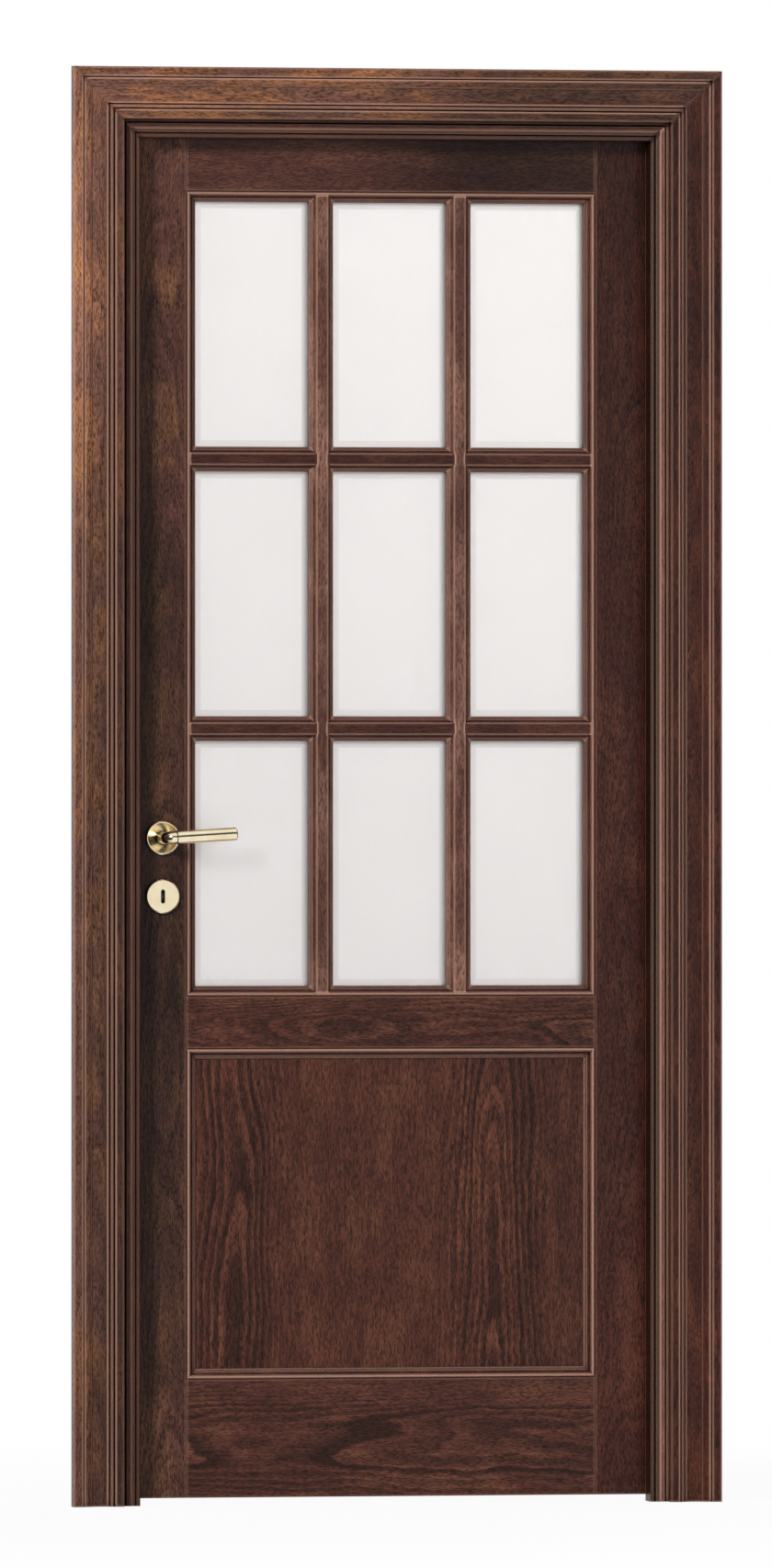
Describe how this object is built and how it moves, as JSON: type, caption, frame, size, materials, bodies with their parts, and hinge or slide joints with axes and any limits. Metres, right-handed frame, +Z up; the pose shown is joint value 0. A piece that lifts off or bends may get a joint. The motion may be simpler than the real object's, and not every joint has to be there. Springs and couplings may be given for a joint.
{
  "type": "glazed wooden door in its frame",
  "caption": "Interior door of dark stained oak: a leaf with satin glass panes between moulded bars over one flat panel, a brass lever and keyhole cover, in a moulded, mitred frame.",
  "frame": {"origin": "foot of the hinge jamb's wall face, halfway through the depth of the jamb", "axes": "+X out of the hinge jamb's wall face, +Y to the side that the leaf opens to, +Z up"},
  "size_m": [1.016, 0.1726, 2.208],
  "materials": {
    "stained_oak": "dark walnut stain under a satin varnish, open grain",
    "satin_glass": "satin etched, with a bevelled border",
    "polished_brass": "polished and lacquered",
    "seal_rubber": "matt brown"
  },
  "bodies": {
    "frame": {"jamb_lock_side": "stained_oak", "jamb_hinge_side": "stained_oak", "jamb_head": "stained_oak", "stop_lock_side": "stained_oak", "stop_hinge_side": "stained_oak", "stop_head": "stained_oak", "architrave_front_lock_side": "stained_oak", "architrave_front_hinge_side": "stained_oak", "architrave_front_head": "stained_oak", "architrave_back_lock_side": "stained_oak", "architrave_back_hinge_side": "stained_oak", "architrave_back_head": "stained_oak", "rebate_seal": "seal_rubber", "strike_plate": "polished_brass", "hinge_frame_halves": "polished_brass"},
    "leaf": {"stile_lock_side": "stained_oak", "stile_hinge_side": "stained_oak", "rail_top": "stained_oak", "rail_middle": "stained_oak", "rail_bottom": "stained_oak", "bar_upright_lock_side": "stained_oak", "bar_upright_hinge_side": "stained_oak", "bars_cross_lower": "stained_oak", "bars_cross_upper": "stained_oak", "panel": "stained_oak", "panel_mouldings": "stained_oak", "glazing_moulding_front": "stained_oak", "glazing_beads_back": "stained_oak", "pane_lower_left": "satin_glass", "pane_lower_centre": "satin_glass", "pane_lower_right": "satin_glass", "pane_middle_left": "satin_glass", "pane_middle_centre": "satin_glass", "pane_middle_right": "satin_glass", "pane_upper_left": "satin_glass", "pane_upper_centre": "satin_glass", "pane_upper_right": "satin_glass", "hinge_leaf_halves": "polished_brass", "lock_forend": "polished_brass", "lock_bolts": "polished_brass", "rose_front": "polished_brass", "rose_back": "polished_brass", "escutcheon_front": "polished_brass", "escutcheon_back": "polished_brass"},
    "lever": {"lever_front": "polished_brass", "lever_back": "polished_brass", "spindle": "polished_brass"}
  },
  "joints": [
    {"name": "leaf_swing", "type": "hinge", "parent": "frame", "child": "leaf", "pos_m": [-0.0275, 0.052, 0], "axis": [0, 0, -1], "range_deg": [0, 110]},
    {"name": "lever_turn", "type": "hinge", "parent": "leaf", "child": "lever", "pos_m": [-0.798, 0.023, 1.025], "axis": [0, 1, 0], "range_deg": [0, 38], "stiffness_Nm_per_rad": 1.2, "springref_deg": -28.65}
  ]
}
